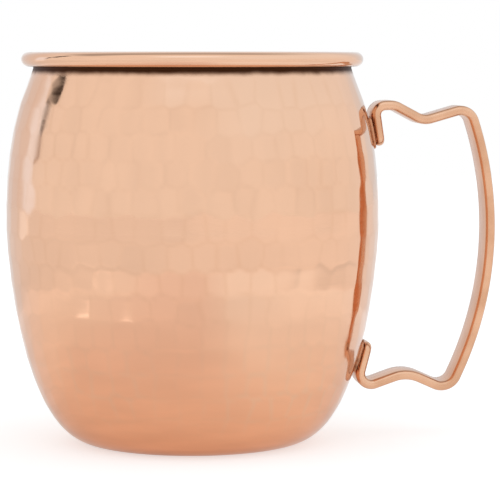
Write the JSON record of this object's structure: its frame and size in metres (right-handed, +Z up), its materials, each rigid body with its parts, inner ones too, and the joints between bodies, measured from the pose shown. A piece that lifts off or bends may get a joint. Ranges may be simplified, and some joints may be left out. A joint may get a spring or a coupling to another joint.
{
  "type": "copper mug",
  "caption": "Hammered copper drinking mug with a barrel-shaped body, a rolled rim, an inner lining and a brazed, wave-bent strap handle.",
  "frame": {"origin": "on the mug's axis, at the underside of the flat base", "axes": "+Z up along the mug's axis, +X towards the handle, +Y across the strap of the handle"},
  "size_m": [0.1178, 0.0894, 0.0936],
  "materials": {
    "hammered_copper": "polished hammered copper with shallow round hammer marks",
    "lining_steel": "satin spun stainless steel",
    "wire_steel": "drawn steel wire, unpolished",
    "handle_copper": "polished copper strip with fine lengthwise draw lines",
    "braze_metal": "copper braze, dressed down and polished over"
  },
  "bodies": {
    "root": {"copper_body": "hammered_copper", "inner_liner": "lining_steel", "rim_wire": "wire_steel", "strap_handle": "handle_copper", "upper_braze": "braze_metal", "lower_braze": "braze_metal"}
  },
  "joints": []
}
